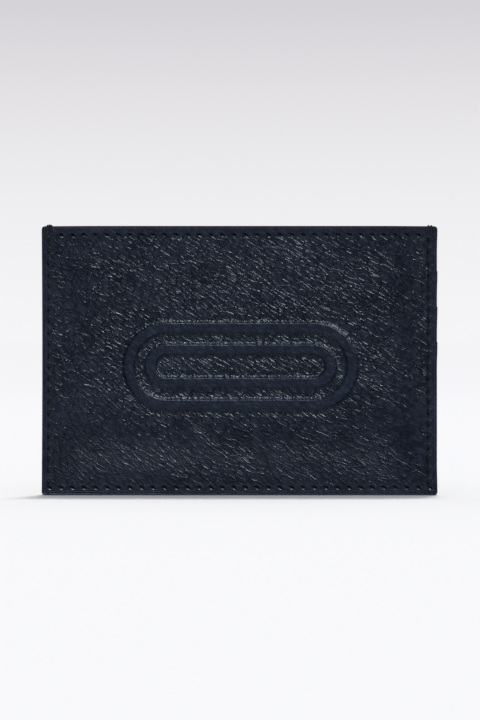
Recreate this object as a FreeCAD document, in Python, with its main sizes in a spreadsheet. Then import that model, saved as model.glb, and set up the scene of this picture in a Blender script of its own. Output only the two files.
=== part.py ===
import FreeCAD, Part
import Sketcher
import math
import os

# Card holder: two stitched leather panels round a central pocket, with three stepped card slots on the back.
# Millimetres. X runs along the width, Z up, and the front faces -Y. The origin is the middle of the bottom edge.

V = FreeCAD.Vector
doc = FreeCAD.newDocument("card_holder")

SIZES = {
    # outline
    "width": 103.0,
    "height": 70.0,
    "corner": 0.9,
    "paint": 0.25,
    # sheet thicknesses and the glue line between bonded sheets
    "front_leather": 1.0,
    "back_leather": 0.9,
    "facing_leather": 0.7,
    "pocket_leather": 0.8,
    "board": 0.3,
    "lining": 0.2,
    "glue": 0.02,
    # how far the pockets stand open at rest, and where they start to open
    "pocket_gap": 1.3,
    "pocket_side_ramp": 10.0,
    "pocket_floor_ramp": 13.0,
    "slot_gap": 0.8,
    "slot_side_ramp": 5.0,
    "slot_floor_ramp": 5.0,
    "seam_allowance": 3.0,
    "floor_pitch": 4.0,
    # slot mouths, counted down from the top edge
    "first_mouth_drop": 11.6,
    "mouth_pitch": 9.2,
    # hidden lower edge of a slot facing, pared thin so that it does not show through
    "head_depth": 14.4,
    "pared_length": 5.2,
    "pared_edge": 0.15,
    "step_down": 3.0,
    # lockstitch seam
    "stitch_pitch": 3.0,
    "stitch_length": 2.2,
    "stitch_slant": 0.25,
    "seam_inset": 2.0,
    "mouth_inset": 2.1,
    "thread_radius": 0.22,
    "base_thread_radius": 0.12,
    "base_row_half": 40.5,
    "base_row_drop": 1.0,
    "thread_lift": 0.05,
    "wrap_width": 0.9,
    "wrap_rise": 0.45,
    "wrap_leg": 1.8,
    "wrap_gap": 0.02,
    # debossed frame on the front
    "frame_length": 60.6,
    "frame_height": 22.4,
    "frame_line": 2.5,
    "frame_pitch": 5.6,
    "frame_depth": 0.45,
    "frame_x": 0.3,
    "frame_z": 33.6,
}

sheet = doc.addObject("Spreadsheet::Sheet", "sizes")
for row, (word, value) in enumerate(SIZES.items(), start=1):
    sheet.set(f"A{row}", word)
    sheet.set(f"B{row}", str(value))
    sheet.setAlias(f"B{row}", word)
doc.recompute()


def size(word):
    """One driving dimension, read back from the spreadsheet."""
    return float(getattr(sheet, word))


HALF = size("width") / 2
TOP = size("height")
REACH = 12.0      # how far a cutting box runs past the layers in Y
OVERSIZE = 1.0    # how far a raw sheet runs past the outline before it is cut
SLOTS = (1, 2, 3)

# ---------------------------------------------------------------- the height law of the layers


def smooth(t):
    """Smooth step from 0 to 1."""
    t = min(1.0, max(0.0, t))
    return t * t * (3 - 2 * t)


def opening(x, z, floor, side_ramp, floor_ramp):
    """How far a pocket stands open at a point, from 0 at its seams to 1 in its middle."""
    from_side = HALF - abs(x) - size("seam_allowance")
    return smooth(from_side / side_ramp) * smooth((z - floor) / floor_ramp)


def pocket_height(x, z):
    """Gap of the central pocket between the front and the back."""
    ramps = size("pocket_side_ramp"), size("pocket_floor_ramp")
    return size("pocket_gap") * opening(x, z, size("seam_allowance"), *ramps)


def slot_floor(number):
    """Height of the base of a card slot; slot 3, the outermost, is the lowest."""
    return size("seam_allowance") + (3 - number) * size("floor_pitch")


def slot_mouth(number):
    """Height of the mouth of a card slot; slot 1 is the highest."""
    return TOP - size("first_mouth_drop") - (number - 1) * size("mouth_pitch")


def head_low(number):
    """Height of the hidden lower edge of the leather head of slot 1 or 2."""
    return slot_mouth(number) - size("head_depth")


def slot_height(number, x, z):
    """Gap of one card slot."""
    ramps = size("slot_side_ramp"), size("slot_floor_ramp")
    return size("slot_gap") * opening(x, z, slot_floor(number), *ramps)


def head_thickness(number, z):
    """Thickness of the leather head of slot 1 or 2, pared thin towards its hidden lower edge."""
    pared = min(1.0, max(0.0, (z - head_low(number)) / size("pared_length")))
    return size("pared_edge") + (size("facing_leather") - size("pared_edge")) * pared


def head_support(number, z):
    """Height that the head adds under the layers outside it, falling to nothing below its edge."""
    fall = size("step_down")
    return head_thickness(number, z) * smooth((z - head_low(number) + fall) / (fall / 2))


def layer(label, thickness, support=None, gaps=0):
    """One sheet of the stack: its thickness, what it adds under its neighbours, and the slots under it."""
    return {"label": label, "thickness": thickness, "support": support or thickness, "gaps": gaps}


def even(word):
    """Thickness function of a sheet that is the same all over."""
    return lambda z: size(word)


def head_layer(number):
    """The leather head of slot 1 or 2."""
    return layer(
        f"slot_{number}_facing",
        lambda z: head_thickness(number, z),
        lambda z: head_support(number, z),
        number,
    )


FRONT_LAYERS = [
    layer("front_lining", even("lining")),
    layer("front_reinforcement", even("board")),
    layer("front_leather_panel", even("front_leather")),
]
BACK_LAYERS = [
    layer("back_lining", even("lining")),
    layer("back_reinforcement", even("board")),
    layer("back_leather_panel", even("back_leather")),
    layer("slot_1_lining", even("lining"), gaps=1),
    head_layer(1),
    layer("slot_2_lining", even("lining"), gaps=2),
    head_layer(2),
    layer("slot_3_lining", even("lining"), gaps=3),
    layer("slot_3_facing", even("pocket_leather"), gaps=3),
]


def inner_face(layers, index):
    """Height function of the face of a sheet that is turned to the central pocket."""
    sign = -1 if layers is FRONT_LAYERS else 1

    def height(x, z):
        below = size("glue") / 2 + sum(item["support"](z) + size("glue") for item in layers[:index])
        if layers is FRONT_LAYERS:
            below += pocket_height(x, z)
        else:
            below += sum(slot_height(number, x, z) for number in SLOTS[:layers[index]["gaps"]])
        return sign * below

    return height


def outer_face(layers, index):
    """Height function of the face of a sheet that is turned away from the central pocket."""
    sign = -1 if layers is FRONT_LAYERS else 1
    inner = inner_face(layers, index)
    return lambda x, z: inner(x, z) + sign * layers[index]["thickness"](z)


def index_of(layers, label):
    """Place of a sheet in its stack."""
    return [item["label"] for item in layers].index(label)


FRONT_FACE = outer_face(FRONT_LAYERS, index_of(FRONT_LAYERS, "front_leather_panel"))
BACK_FACES = {item["label"]: outer_face(BACK_LAYERS, place) for place, item in enumerate(BACK_LAYERS)}


# ---------------------------------------------------------------- sheets between two height laws


def grid_lines():
    """Grid lines of a sheet: close together where the layers ramp, wide apart where they are flat."""
    near_edge = [-OVERSIZE, 0.5, 1.5, 2.5, 3.5, 5.0, 6.5, 8.0, 9.5, 11.0, 12.5, 14.0, 16.0, 19.0]
    across = [HALF - distance for distance in near_edge] + [24.0, 16.0, 8.0]
    x_lines = sorted([-x for x in across] + [0.0] + across)
    z_lines = near_edge + [22.0, 25.0, 28.0, 54.0, 58.0, 62.0, 66.0, TOP + OVERSIZE]
    for number in (1, 2):
        low = head_low(number)
        z_lines += [low - size("step_down"), low - size("step_down") / 2, low]
        z_lines += [low + size("pared_length") / 2, low + size("pared_length")]
    return x_lines, sorted(z_lines)


X_LINES, Z_LINES = grid_lines()
DEGREE = 3


def surface(height):
    """Cubic surface whose control points stand at the law's heights over the grid."""
    poles = [[V(x, height(x, z), z) for z in Z_LINES] for x in X_LINES]
    knots, mults = [], []
    for lines in (X_LINES, Z_LINES):
        inner = len(lines) - DEGREE - 1
        knots.append(list(range(inner + 2)))
        mults.append([DEGREE + 1] + [1] * inner + [DEGREE + 1])
    patch = Part.BSplineSurface()
    patch.buildFromPolesMultsKnots(poles, *mults, *knots, False, False, DEGREE, DEGREE)
    return patch


def slab(name, low, high):
    """Raw sheet between two height laws, larger than the outline all round."""
    faces = [surface(low).toShape(), surface(high).toShape()]
    faces += [Part.makeRuledSurface(a, b) for a, b in zip(faces[0].Edges, faces[1].Edges)]
    shell = Part.makeShell(faces)
    shell.sewShape()
    solid = Part.makeSolid(shell)
    if solid.Volume < 0:
        solid.reverse()
    raw = doc.addObject("Part::Feature", name)
    raw.Shape = solid
    return raw


def stack_slab(name, layers, first, last):
    """Raw slab from the inner face of one sheet to the outer face of another in the same stack."""
    return slab(name, inner_face(layers, first), outer_face(layers, last))


# ---------------------------------------------------------------- cutting boxes and booleans


def cutter(name, x_low, x_high, z_low, z_high):
    """Box through all the layers, its sides given as expressions of the spreadsheet."""
    box = doc.addObject("Part::Box", name)
    box.Width = 2 * REACH
    box.Placement.Base.y = -REACH
    box.setExpression("Length", f"({x_high}) - ({x_low})")
    box.setExpression("Height", f"({z_high}) - ({z_low})")
    box.setExpression("Placement.Base.x", x_low)
    box.setExpression("Placement.Base.z", z_low)
    return box


def rounded(name, base, radius, top_too=True):
    """The box with its corners rounded as seen from the front: the lower two, or all four."""
    doc.recompute()
    centre = base.Shape.CenterOfMass
    picked = []
    for number, edge in enumerate(base.Shape.Edges, start=1):
        runs_through = edge.BoundBox.YLength > REACH
        if runs_through and (top_too or edge.CenterOfMass.z < centre.z):
            picked.append((number, radius, radius))
    fillet = doc.addObject("Part::Fillet", name)
    fillet.Base = base
    fillet.Edges = picked
    return fillet


def combine(kind, name, base, tool):
    """Boolean of two document objects: Part::Common or Part::Cut."""
    result = doc.addObject(kind, name)
    result.Base = base
    result.Tool = tool
    return result


SIDE = "sizes.width / 2"
PAINT = "sizes.paint"
INNER_SIDE = f"{SIDE} - {PAINT}"
CORNER_SIDE = f"{SIDE} - sizes.corner"
INNER_RADIUS = size("corner") - size("paint")


def mouth_cell(number):
    """Height of a slot mouth as an expression of the spreadsheet."""
    return f"sizes.height - sizes.first_mouth_drop - {number - 1} * sizes.mouth_pitch"


outline_box = cutter("outline_box", f"-({SIDE})", SIDE, "0", "sizes.height")
outline = rounded("outline", outline_box, size("corner"))
panel_box = cutter("panel_box", f"-({INNER_SIDE})", INNER_SIDE, PAINT, f"sizes.height - {PAINT}")
panel_die = rounded("panel_die", panel_box, INNER_RADIUS)

parts = []


def keep(obj, label):
    """Name a finished sub-part."""
    obj.Label = label
    parts.append(obj)
    return obj


def cut_sheet(layers, label, die):
    """A sheet of the stack, cut to its outline."""
    index = index_of(layers, label)
    raw = stack_slab("raw_" + label, layers, index, index)
    return combine("Part::Common", "sheet_" + label, raw, die)


# ---------------------------------------------------------------- debossed frame of the front


def add_round_ended_outline(sketch, inset):
    """Closed outline with round ends, centred on the sketch, a distance inside the frame's outer line."""
    arc_a = sketch.GeometryCount
    arc_b, upper, lower = arc_a + 1, arc_a + 2, arc_a + 3
    radius = size("frame_height") / 2
    centre = size("frame_length") / 2 - radius
    quarter = math.pi / 2
    for sign in (1, -1):
        circle = Part.Circle(V(sign * centre, 0, 0), V(0, 0, 1), radius)
        start = -sign * quarter
        sketch.addGeometry(Part.ArcOfCircle(circle, start, start + 2 * quarter))
    sketch.addGeometry(Part.LineSegment(V(centre, radius, 0), V(-centre, radius, 0)))
    sketch.addGeometry(Part.LineSegment(V(-centre, -radius, 0), V(centre, -radius, 0)))
    joins = [(arc_a, 2, upper, 1), (upper, 2, arc_b, 1), (arc_b, 2, lower, 1), (lower, 2, arc_a, 1)]
    for join in joins:
        sketch.addConstraint(Sketcher.Constraint("Tangent", *join))
    sketch.addConstraint(Sketcher.Constraint("Equal", arc_a, arc_b))
    sketch.addConstraint(Sketcher.Constraint("PointOnObject", arc_a, 3, -1))
    sketch.addConstraint(Sketcher.Constraint("Symmetric", arc_a, 3, arc_b, 3, -1, 1))
    bound = sketch.addConstraint(Sketcher.Constraint("Radius", arc_a, radius))
    sketch.setExpression(f"Constraints[{bound}]", f"sizes.frame_height / 2 - ({inset})")
    bound = sketch.addConstraint(Sketcher.Constraint("DistanceX", arc_b, 3, arc_a, 3, 2 * centre))
    sketch.setExpression(f"Constraints[{bound}]", "sizes.frame_length - sizes.frame_height")


def sketch_on(body, name, role):
    """New sketch on one of a body's own origin planes."""
    sketch = body.newObject("Sketcher::SketchObject", name)
    plane = [item for item in body.Origin.OriginFeatures if item.Role == role][0]
    sketch.AttachmentSupport = [(plane, "")]
    sketch.MapMode = "FlatFace"
    return sketch


def debossing_stamp():
    """The raised lines of the stamp that presses two round-ended rings, one inside the other."""
    stamp = doc.addObject("PartDesign::Body", "stamp")
    sketch = sketch_on(stamp, "stamp_lines", "XZ_Plane")
    for inset in ("0", "sizes.frame_line", "sizes.frame_pitch", "sizes.frame_pitch + sizes.frame_line"):
        add_round_ended_outline(sketch, inset)
    pad = stamp.newObject("PartDesign::Pad", "stamp_height")
    pad.Profile = sketch
    pad.Length = REACH
    stamp.setExpression("Placement.Base.x", "sizes.frame_x")
    stamp.setExpression("Placement.Base.z", "sizes.frame_z")
    stamp.Placement.Base.y = FRONT_FACE(0, size("frame_z")) + size("frame_depth")
    return stamp


# ---------------------------------------------------------------- the sheets


def make_panels():
    """The six sheets of the two panels; the front leather carries the debossed frame."""
    keep(cut_sheet(FRONT_LAYERS, "front_lining", panel_die), "front_lining")
    keep(cut_sheet(FRONT_LAYERS, "front_reinforcement", panel_die), "front_reinforcement")
    leather = cut_sheet(FRONT_LAYERS, "front_leather_panel", panel_die)
    keep(combine("Part::Cut", "debossed_leather", leather, debossing_stamp()), "front_leather_panel")
    for label in ("back_lining", "back_reinforcement", "back_leather_panel"):
        keep(cut_sheet(BACK_LAYERS, label, panel_die), label)


def make_slots():
    """Lining and leather facing of each card slot, cut to the slot's mouth and lower edge."""
    for number in SLOTS:
        mouth = f"{mouth_cell(number)} - {PAINT}"
        if number == 3:
            lining_low = head_edge = PAINT
        else:
            lining_low = f"{3 - number} * sizes.floor_pitch"
            head_edge = f"{mouth_cell(number)} - sizes.head_depth"
        for piece, low in (("lining", lining_low), ("facing", head_edge)):
            label = f"slot_{number}_{piece}"
            die = cutter("die_" + label, f"-({INNER_SIDE})", INNER_SIDE, low, mouth)
            if number == 3:
                die = rounded("rounded_die_" + label, die, INNER_RADIUS, top_too=False)
            keep(cut_sheet(BACK_LAYERS, label, die), label)


# ---------------------------------------------------------------- painted edges


def envelope():
    """The whole stack from the front leather to the outermost sheet of the back, mouth by mouth."""
    steps = ["0", mouth_cell(3), mouth_cell(2), mouth_cell(1), "sizes.height"]
    outermost = ["slot_3_facing", "slot_2_facing", "slot_1_facing", "back_leather_panel"]
    bands = []
    for low, high, label in zip(steps, steps[1:], outermost):
        raw = slab("raw_band_" + label, FRONT_FACE, BACK_FACES[label])
        box = cutter("box_band_" + label, f"-({SIDE})", SIDE, low, high)
        bands.append(combine("Part::Common", "band_" + label, raw, box))
    fused = doc.addObject("Part::MultiFuse", "envelope")
    fused.Shapes = bands
    return fused


def make_rim_paint():
    """Paint on the cut edges of the whole stack: left, right and bottom."""
    ring = combine("Part::Cut", "ring", outline, panel_die)
    rim = combine("Part::Common", "rim", envelope(), ring)
    pieces = {
        "left_edge_paint": (f"-({SIDE})", f"-({CORNER_SIDE})", "sizes.corner", "sizes.height"),
        "right_edge_paint": (CORNER_SIDE, SIDE, "sizes.corner", "sizes.height"),
        "bottom_edge_paint": (f"-({SIDE})", SIDE, "0", "sizes.corner"),
    }
    for label, sides in pieces.items():
        box = cutter("box_" + label, *sides)
        keep(combine("Part::Common", "strip_" + label, rim, box), label)


def make_mouth_paint():
    """Paint along the open edges: the two panels at the top, and each slot's mouth."""
    panel_sides = f"-({CORNER_SIDE})", CORNER_SIDE, f"sizes.height - {PAINT}", "sizes.height"
    mouths = [
        ("front_mouth_edge_paint", FRONT_LAYERS, "front_lining", "front_leather_panel", panel_sides),
        ("back_mouth_edge_paint", BACK_LAYERS, "back_lining", "back_leather_panel", panel_sides),
    ]
    for number in SLOTS:
        mouth = mouth_cell(number)
        sides = f"-({INNER_SIDE})", INNER_SIDE, f"{mouth} - {PAINT}", mouth
        names = f"slot_{number}_lining", f"slot_{number}_facing"
        mouths.append((f"slot_{number}_mouth_edge_paint", BACK_LAYERS, *names, sides))
    for label, layers, first, last, sides in mouths:
        raw = stack_slab("raw_" + label, layers, index_of(layers, first), index_of(layers, last))
        box = cutter("box_" + label, *sides)
        keep(combine("Part::Common", "strip_" + label, raw, box), label)


# ---------------------------------------------------------------- stitching


surfaces_made = {}


def made_surface(height):
    """The surface of a height law, made once."""
    if height not in surfaces_made:
        surfaces_made[height] = surface(height)
    return surfaces_made[height]


def lay_stitch(leather, side, start, end, radius):
    """One stitch: a short round rod lying just clear of a leather surface, between two holes."""
    face = made_surface(leather)
    lift = V(0, side * (radius + size("thread_lift")), 0)
    ends = [face.value(*face.parameter(V(x, leather(x, z), z))) + lift for x, z in (start, end)]
    run = ends[1] - ends[0]
    return Part.makeCylinder(radius, run.Length, ends[0], run)


def row_centres(half_run):
    """Evenly pitched stitch centres along a row that is symmetric about zero."""
    pitch = size("stitch_pitch")
    count = int(2 * half_run / pitch + 1e-6)
    return [(number - (count - 1) / 2) * pitch for number in range(count)]


def level_row(height, half_run):
    """Stitches of a level row: pairs of end points, each slanting down to the right."""
    half, slant = size("stitch_length") / 2, size("stitch_slant") / 2
    return [((x - half, height + slant), (x + half, height - slant)) for x in row_centres(half_run)]


def upright_row(x):
    """Stitches of a side seam, from the bottom seam up to the mouth seam."""
    low, high = size("seam_inset"), TOP - size("mouth_inset")
    half, slant = size("stitch_length") / 2, size("stitch_slant") / 2
    middle = (low + high) / 2
    centres = [middle + z for z in row_centres((high - low) / 2)]
    return [((x - slant, z + half), (x + slant, z - half)) for z in centres]


def make_thread(label, stitches, radius):
    """A thread as the group of its visible stitches: (leather height law, side, start, end) each."""
    rods = [lay_stitch(law, side, start, end, radius) for law, side, start, end in stitches]
    thread = doc.addObject("Part::Feature", label)
    thread.Shape = Part.makeCompound(rods)
    keep(thread, label)


def outermost_back(z):
    """Height law of the back surface at a height: the highest slot facing that reaches up to it."""
    label = "back_leather_panel"
    for number in SLOTS:
        if z < slot_mouth(number):
            label = f"slot_{number}_facing"
    return BACK_FACES[label]


def make_stitching():
    """Needle and bobbin thread of the seam round three sides, the mouth seams and the slot base seams."""
    seam_x = HALF - size("seam_inset")
    seam = upright_row(-seam_x) + level_row(size("seam_inset"), seam_x) + upright_row(seam_x)
    mouth = level_row(TOP - size("mouth_inset"), seam_x)
    radius = size("thread_radius")
    make_thread("seam_needle_thread", [(FRONT_FACE, -1, *stitch) for stitch in seam], radius)
    lowest = [(outermost_back(min(start[1], end[1])), 1, start, end) for start, end in seam]
    make_thread("seam_bobbin_thread", lowest, radius)
    make_thread("front_mouth_stitching", [(FRONT_FACE, -1, *stitch) for stitch in mouth], radius)
    panel = BACK_FACES["back_leather_panel"]
    make_thread("back_mouth_stitching", [(panel, 1, *stitch) for stitch in mouth], radius)
    for number in (1, 2):
        row = level_row(slot_floor(number) - size("base_row_drop"), size("base_row_half"))
        lining = BACK_FACES[f"slot_{number}_lining"]
        stitches = [(lining, 1, *stitch) for stitch in row]
        make_thread(f"slot_{number}_base_stitching", stitches, size("base_thread_radius"))


def make_wraps():
    """The seam thread where it passes over the top edge at each side, as a flat staple."""
    thick, gap = 2 * size("thread_radius"), size("wrap_gap")
    front = FRONT_FACE(HALF, TOP) - gap
    back = BACK_FACES["back_leather_panel"](HALF, TOP) + gap
    legs_low = TOP - size("wrap_leg")
    for label, sign in (("left_mouth_wrap", -1), ("right_mouth_wrap", 1)):
        left = sign * (HALF - size("seam_inset")) - size("wrap_width") / 2
        staple = doc.addObject("Part::Box", label + "_outer")
        staple.Width = back - front + 2 * thick
        staple.Height = TOP + size("wrap_rise") - legs_low
        staple.Placement.Base = V(left, front - thick, legs_low)
        inside = doc.addObject("Part::Box", label + "_inner")
        inside.Width = back - front
        inside.Height = TOP + gap - legs_low + thick
        inside.Placement.Base = V(left, front, legs_low - thick)
        for box in (staple, inside):
            box.setExpression("Length", "sizes.wrap_width")
        keep(combine("Part::Cut", label + "_staple", staple, inside), label)


# ---------------------------------------------------------------- build, centre, check and write


def centre_depth():
    """Move every sub-part along Y so that the whole box is centred on the origin."""
    doc.recompute()
    whole = Part.makeCompound([part.Shape for part in parts]).optimalBoundingBox(False, False)
    for part in parts:
        part.Placement.Base.y -= (whole.YMin + whole.YMax) / 2
    doc.recompute()
    return whole


def check_and_write():
    """Stop on any failed feature or bad shape, then write one STEP file for each sub-part."""
    for obj in doc.Objects:
        if "Invalid" in obj.State or "Error" in obj.State:
            raise RuntimeError(f"{obj.Name} failed: {obj.State}")
    os.makedirs("parts", exist_ok=True)
    for part in parts:
        if part.Shape.isNull() or not part.Shape.isValid():
            raise RuntimeError(f"{part.Label} has a bad shape")
        part.Shape.exportStep(f"parts/{part.Label}.step")
        print(f"{part.Label}: {len(part.Shape.Solids)} solid(s), {part.Shape.Volume:.1f} mm3")


make_panels()
make_slots()
make_rim_paint()
make_mouth_paint()
make_stitching()
make_wraps()
overall = centre_depth()
print(f"box {overall.XLength:.2f} x {overall.YLength:.2f} x {overall.ZLength:.2f} mm")
check_and_write()
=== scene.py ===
import functools
import math

import bpy
import numpy as np
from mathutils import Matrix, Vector
from mathutils.bvhtree import BVHTree


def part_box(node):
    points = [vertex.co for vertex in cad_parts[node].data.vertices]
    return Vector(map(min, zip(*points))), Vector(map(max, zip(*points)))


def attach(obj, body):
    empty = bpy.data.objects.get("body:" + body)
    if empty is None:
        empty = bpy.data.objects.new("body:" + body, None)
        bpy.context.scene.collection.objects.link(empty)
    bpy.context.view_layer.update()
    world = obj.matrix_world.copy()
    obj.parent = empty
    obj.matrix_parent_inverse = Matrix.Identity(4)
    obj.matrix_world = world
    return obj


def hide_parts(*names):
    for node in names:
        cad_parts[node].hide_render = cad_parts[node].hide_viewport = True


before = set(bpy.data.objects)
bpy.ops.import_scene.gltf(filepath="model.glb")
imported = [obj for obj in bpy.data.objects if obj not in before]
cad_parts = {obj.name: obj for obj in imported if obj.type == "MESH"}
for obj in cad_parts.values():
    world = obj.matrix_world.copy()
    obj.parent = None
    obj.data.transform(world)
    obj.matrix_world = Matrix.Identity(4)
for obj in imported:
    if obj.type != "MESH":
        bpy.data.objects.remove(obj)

# The looks of a leather card holder: pebbled leather, painted edges, thread and woven linings.
# Metres. The front faces -Y, so a face's side is -1 on the front and +1 on the back.

MM = 0.001
FRONT, BACK = -1, 1
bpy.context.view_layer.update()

# ---------------------------------------------------------------- places, read from the frame

outline_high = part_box("bottom_edge_paint")[1]
HALF = outline_high.x
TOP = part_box("left_edge_paint")[1].z
MOUTHS = {number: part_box(f"slot_{number}_mouth_edge_paint")[1].z for number in (1, 2, 3)}
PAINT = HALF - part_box("front_leather_panel")[1].x
CORNER = outline_high.z

# The holder and the studio are lit apart
HOLDER = bpy.data.collections.new("holder")
STUDIO = bpy.data.collections.new("studio")
for collection in (HOLDER, STUDIO):
    bpy.context.scene.collection.children.link(collection)

# Lockstitch: holes at one pitch, with a stitch from each hole to the next
PITCH = 3.0 * MM
SEAM_INSET = 2.0 * MM
MOUTH_INSET = 2.1 * MM
THREAD_RADIUS = 0.20 * MM
THREAD_SIDES = 12
THREAD_SINK = {FRONT: 0.34 * MM, BACK: 0.22 * MM}
THREAD_DIVE = 0.40 * MM
STITCH_SLANT = 0.10 * MM
SEAM_X = HALF - SEAM_INSET
BASE_SEAM_Z = SEAM_INSET + 0.25 * MM
MOUTH_SEAM_Z = TOP - MOUTH_INSET

# Debossed frame: two round-ended rings, one inside the other
RING_LENGTH = 60.6 * MM
RING_HEIGHT = 22.4 * MM
RING_LINE = 2.5 * MM
RING_PITCH = 5.6 * MM
RING_DEPTH = 0.45 * MM
RING_X, RING_Z = 0.3 * MM, 33.6 * MM
STEP_WIDTH, ROLL_WIDTH = 0.30 * MM, 0.72 * MM
PUCKER_PITCH, PUCKER_HEIGHT = 0.75 * MM, 0.19 * MM

# ---------------------------------------------------------------- noise on arrays


def smooth(t):
    """Smooth step from 0 to 1."""
    t = np.clip(t, 0.0, 1.0)
    return t * t * (3 - 2 * t)


def bell(distance, width):
    """Smooth bump that is 1 at no distance and falls to 0 over about twice the width."""
    return np.exp(-((distance / width) ** 2))


def chance(a, b, seed):
    """A repeatable random number from 0 to 1 for each pair of whole numbers."""
    value = np.sin(a * 127.1 + b * 311.7 + seed * 74.7) * 43758.5453
    return value - np.floor(value)


def waves(x, z, scale, seed):
    """Smooth value noise from 0 to 1, with features of the given size."""
    u, v = x / scale, z / scale
    i, j = np.floor(u), np.floor(v)
    f, g = smooth(u - i), smooth(v - j)
    low = chance(i, j, seed) * (1 - f) + chance(i + 1, j, seed) * f
    high = chance(i, j + 1, seed) * (1 - f) + chance(i + 1, j + 1, seed) * f
    return low * (1 - g) + high * g


def pebbles(x, z, scale, seed):
    """Leather pebbles: 0 in the creases between cells and 1 on their crowns."""
    u, v = x / scale, z / scale
    i, j = np.floor(u), np.floor(v)
    nearest = np.full(u.shape, 9.0)
    second = np.full(u.shape, 9.0)
    for di in (-1, 0, 1):
        for dj in (-1, 0, 1):
            px = i + di + 0.5 + 0.8 * (chance(i + di, j + dj, seed) - 0.5)
            pz = j + dj + 0.5 + 0.8 * (chance(i + di, j + dj, seed + 1) - 0.5)
            gap = np.hypot(u - px, v - pz)
            second = np.minimum(second, np.maximum(gap, nearest))
            nearest = np.minimum(nearest, gap)
    return smooth((second - nearest) / 0.55)


FLOW_ANGLE = math.radians(36)     # fall of the grain at the middle of the width
FLOW_TURN = 4.2                   # how fast it levels out towards the right, in radians per metre
GRAIN_HEIGHT = 0.12 * MM          # rise of a pebble over its creases where the leather is slack


def flow(x, z):
    """Coordinates along and across the drawn-out grain, which falls to the right and levels out there."""
    angle = FLOW_ANGLE - FLOW_TURN * x
    level = z - TOP / 2
    along = -np.sin(angle) / FLOW_TURN - level * np.sin(angle)
    across = np.cos(angle) / FLOW_TURN + level * np.cos(angle)
    return along, across


def grain(along, across, seed):
    """Height of the pebbled grain from 0 to 1, its cells drawn out along the flow."""
    along = along + 1.2 * MM * (waves(along, across, 4.6 * MM, seed + 5) - 0.5)
    across = across + 0.9 * MM * (waves(along, across, 3.8 * MM, seed + 6) - 0.5)
    cells = pebbles(along / 2.3, across, 1.25 * MM, seed)
    swell = waves(along / 2.8, across, 1.9 * MM, seed + 3)
    return 0.65 * cells + 0.35 * swell


# ---------------------------------------------------------------- faces of the CAD sheets


@functools.cache
def cad_face(node, side):
    """Smooth function giving y over a CAD sheet: its face turned to the given side, read on a lattice."""
    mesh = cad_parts[node].data
    tree = BVHTree.FromPolygons([v.co for v in mesh.vertices], [p.vertices for p in mesh.polygons])
    low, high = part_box(node)
    inset, step, far = 0.4 * MM, 2.2 * MM, 20 * MM
    xs, zs = (
        np.linspace(a + inset, b - inset, max(4, int((b - a) / step)))
        for a, b in ((low.x, high.x), (low.z, high.z))
    )
    heights = np.zeros((len(xs), len(zs)))
    for i, x in enumerate(xs):
        for j, z in enumerate(zs):
            heights[i, j] = tree.ray_cast(Vector((x, side * far, z)), Vector((0, -side, 0)))[0].y

    def face(x, z):
        x, z = np.atleast_1d(x), np.atleast_1d(z)
        if x.ndim == 2:
            return weights(x[:, 0], xs) @ heights @ weights(z[0, :], zs).T
        return np.einsum("ki,ij,kj->k", weights(x, xs), heights, weights(z, zs))

    return face


def weights(points, lines):
    """Cubic weights that read a row of evenly spaced samples at any points, held level past its ends."""
    t = np.clip((points - lines[0]) / (lines[1] - lines[0]), 0, len(lines) - 1)
    i = np.minimum(t.astype(int), len(lines) - 2)
    f = t - i
    parts = (
        (1 - f) ** 3 / 6,
        (3 * f**3 - 6 * f**2 + 4) / 6,
        (-3 * f**3 + 3 * f**2 + 3 * f + 1) / 6,
        f**3 / 6,
    )
    table = np.zeros((len(points), len(lines)))
    for shift, part in enumerate(parts, start=-1):
        np.add.at(table, (np.arange(len(points)), np.clip(i + shift, 0, len(lines) - 1)), part)
    return table


# ---------------------------------------------------------------- how the finished holder settles


LEFT_PULL = 0.17 * MM
RIGHT_PULL = 0.14 * MM
RIGHT_INSET = 0.03 * MM


def settle(points):
    """Pull the side edges in a little where the filled middle draws them, with a step at each slot mouth."""
    x, z = points[:, 0], points[:, 2]
    level = np.clip(z / TOP, 0, 1)
    left = LEFT_PULL * np.sin(math.pi * level) ** 0.8
    right = RIGHT_INSET + RIGHT_PULL * smooth(level / 0.12) * smooth((1 - level) / 0.10)
    for mouth in MOUTHS.values():
        below = (mouth - z) / (7 * MM)
        right = right - RIGHT_PULL * smooth((mouth - z) / (0.3 * MM)) * smooth(1 - below)
    pull = np.where(x > 0, np.clip(right, 0, None), left)
    points[:, 0] = x - np.sign(x) * pull * np.clip(np.abs(x) / HALF, 0, 1) ** 2
    return points


# ---------------------------------------------------------------- pieces


def make_piece(name, points, faces, node, material, marks=None):
    """A finished mesh piece that stands for a CAD node; marks are named numbers kept at its points."""
    mesh = bpy.data.meshes.new(name)
    mesh.from_pydata(settle(np.asarray(points, dtype=float)).tolist(), [], faces)
    for word, values in (marks or {}).items():
        full = np.zeros(len(mesh.vertices), dtype=np.float32)
        full[: len(values)] = values
        mesh.attributes.new(word, "FLOAT", "POINT").data.foreach_set("value", full)
    mesh.shade_smooth()
    mesh.set_sharp_from_angle(angle=math.radians(60))
    mesh.materials.append(material)
    piece = bpy.data.objects.new(name, mesh)
    HOLDER.objects.link(piece)
    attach(piece, "root")
    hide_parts(node)
    return piece


STRIDE = 4   # cells of a sheet's fine face to one cell of its plain face


def graded(low, high, step, zones=()):
    """Grid lines from low to high, closer inside the (start, end, step) zones."""
    marks = sorted({low, high, *(edge for zone in zones for edge in zone[:2] if low < edge < high)})
    lines = [low]
    for a, b in zip(marks, marks[1:]):
        middle = (a + b) / 2
        local = min([zone[2] for zone in zones if zone[0] < middle < zone[1]], default=step)
        lines += list(np.linspace(a, b, max(1, round((b - a) / local)) + 1)[1:])
    while (len(lines) - 1) % STRIDE:
        widest = int(np.argmax(np.diff(lines)))
        lines.insert(widest + 1, (lines[widest] + lines[widest + 1]) / 2)
    return np.array(lines)


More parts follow.
